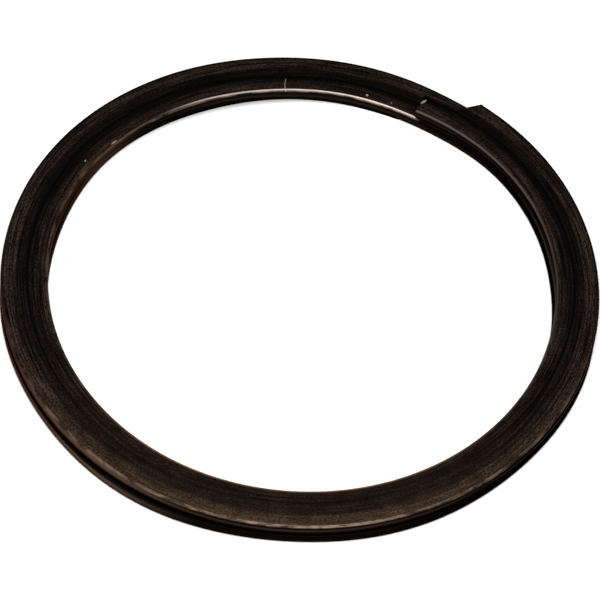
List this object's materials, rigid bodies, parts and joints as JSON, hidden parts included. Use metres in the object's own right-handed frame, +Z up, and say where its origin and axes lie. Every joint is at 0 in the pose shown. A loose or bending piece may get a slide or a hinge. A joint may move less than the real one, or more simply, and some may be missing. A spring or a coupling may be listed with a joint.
{
  "type": "split key ring",
  "caption": "Flat-wire split key ring: spring-steel wire coiled back over itself, with a stepped free end that pries open to take keys.",
  "frame": {"origin": "centre of the ring, on the surface that its lower turn lies on", "axes": "+Z up through the ring; +X to the right and +Y to the back, with the upper free end at the back right, 67.5 degrees from +X"},
  "size_m": [0.0508, 0.0508, 0.0022],
  "materials": {
    "upper_free_end": "dark bronze black-oxide, satin with fine drawing lines along the wire",
    "upper_turn_right": "dark bronze black-oxide, satin with fine drawing lines along the wire",
    "upper_turn_front": "dark bronze black-oxide, satin with fine drawing lines along the wire",
    "upper_turn_left": "dark bronze black-oxide, satin with fine drawing lines along the wire",
    "upper_turn_back": "dark bronze black-oxide, satin with fine drawing lines along the wire",
    "crossover_bend": "dark bronze black-oxide, satin with fine drawing lines along the wire",
    "lower_turn_right": "dark bronze black-oxide, satin with fine drawing lines along the wire",
    "lower_turn_front": "dark bronze black-oxide, satin with fine drawing lines along the wire",
    "lower_turn_left": "dark bronze black-oxide, satin with fine drawing lines along the wire",
    "lower_free_end": "dark bronze black-oxide, satin with fine drawing lines along the wire"
  },
  "bodies": {
    "upper_free_end": {"upper_free_end": "upper_free_end"},
    "upper_turn_right": {"upper_turn_right": "upper_turn_right"},
    "upper_turn_front": {"upper_turn_front": "upper_turn_front"},
    "upper_turn_left": {"upper_turn_left": "upper_turn_left"},
    "upper_turn_back": {"upper_turn_back": "upper_turn_back"},
    "crossover_bend": {"crossover_bend": "crossover_bend"},
    "lower_turn_right": {"lower_turn_right": "lower_turn_right"},
    "lower_turn_front": {"lower_turn_front": "lower_turn_front"},
    "lower_turn_left": {"lower_turn_left": "lower_turn_left"},
    "lower_free_end": {"lower_free_end": "lower_free_end"}
  },
  "joints": [
    {"name": "lower_turn_left_twist", "type": "hinge", "parent": "lower_free_end", "child": "lower_turn_left", "pos_m": [-0.02348, -0.00103, 0.00047], "axis": [0.0436, -0.999, 0], "range_deg": [0, 1.12]},
    {"name": "lower_turn_opening", "type": "hinge", "parent": "lower_turn_left", "child": "lower_turn_front", "pos_m": [-0.00509, -0.02294, 0.00047], "axis": [0.9763, -0.2164, 0], "range_deg": [0, 2.7], "stiffness_Nm_per_rad": 3.2, "springref_deg": -0.11},
    {"name": "lower_turn_right_twist", "type": "hinge", "parent": "lower_turn_front", "child": "lower_turn_right", "pos_m": [0.02084, -0.01085, 0.00047], "axis": [0.4617, 0.887, 0], "range_deg": [0, 2.41]},
    {"name": "crossover_bend_twist", "type": "hinge", "parent": "lower_turn_right", "child": "crossover_bend", "pos_m": [0.01588, 0.01733, 0.00047], "axis": [-0.7373, 0.6756, 0], "range_deg": [0, 0.685]},
    {"name": "upper_turn_back_twist", "type": "hinge", "parent": "crossover_bend", "child": "upper_turn_back", "pos_m": [-0.01431, 0.01864, 0.00171], "axis": [-0.7934, -0.6088, 0], "range_deg": [0, 0.56]},
    {"name": "upper_turn_left_twist", "type": "hinge", "parent": "upper_turn_back", "child": "upper_turn_left", "pos_m": [-0.0233, -0.00307, 0.00171], "axis": [0.1305, -0.9914, 0], "range_deg": [0, 1.66]},
    {"name": "upper_turn_opening", "type": "hinge", "parent": "upper_turn_left", "child": "upper_turn_front", "pos_m": [-0.00899, -0.02171, 0.00171], "axis": [0.9239, -0.3827, 0], "range_deg": [0, 2.2], "stiffness_Nm_per_rad": 4.4, "springref_deg": -0.11},
    {"name": "upper_turn_right_twist", "type": "hinge", "parent": "upper_turn_front", "child": "upper_turn_right", "pos_m": [0.01431, -0.01864, 0.00171], "axis": [0.7934, 0.6088, 0], "range_deg": [0, 1.66]},
    {"name": "upper_free_end_twist", "type": "hinge", "parent": "upper_turn_right", "child": "upper_free_end", "pos_m": [0.0233, 0.00307, 0.00171], "axis": [-0.1305, 0.9914, 0], "range_deg": [0, 0.56]}
  ],
  "couplings": [
    {"joint": "upper_free_end_twist", "follows": "upper_turn_opening", "ratio": 0.25},
    {"joint": "upper_turn_right_twist", "follows": "upper_turn_opening", "ratio": 0.75},
    {"joint": "upper_turn_left_twist", "follows": "upper_turn_opening", "ratio": 0.75},
    {"joint": "upper_turn_back_twist", "follows": "upper_turn_opening", "ratio": 0.25},
    {"joint": "crossover_bend_twist", "follows": "lower_turn_opening", "ratio": 0.25},
    {"joint": "lower_turn_right_twist", "follows": "lower_turn_opening", "ratio": 0.89},
    {"joint": "lower_turn_left_twist", "follows": "lower_turn_opening", "ratio": 0.41}
  ]
}
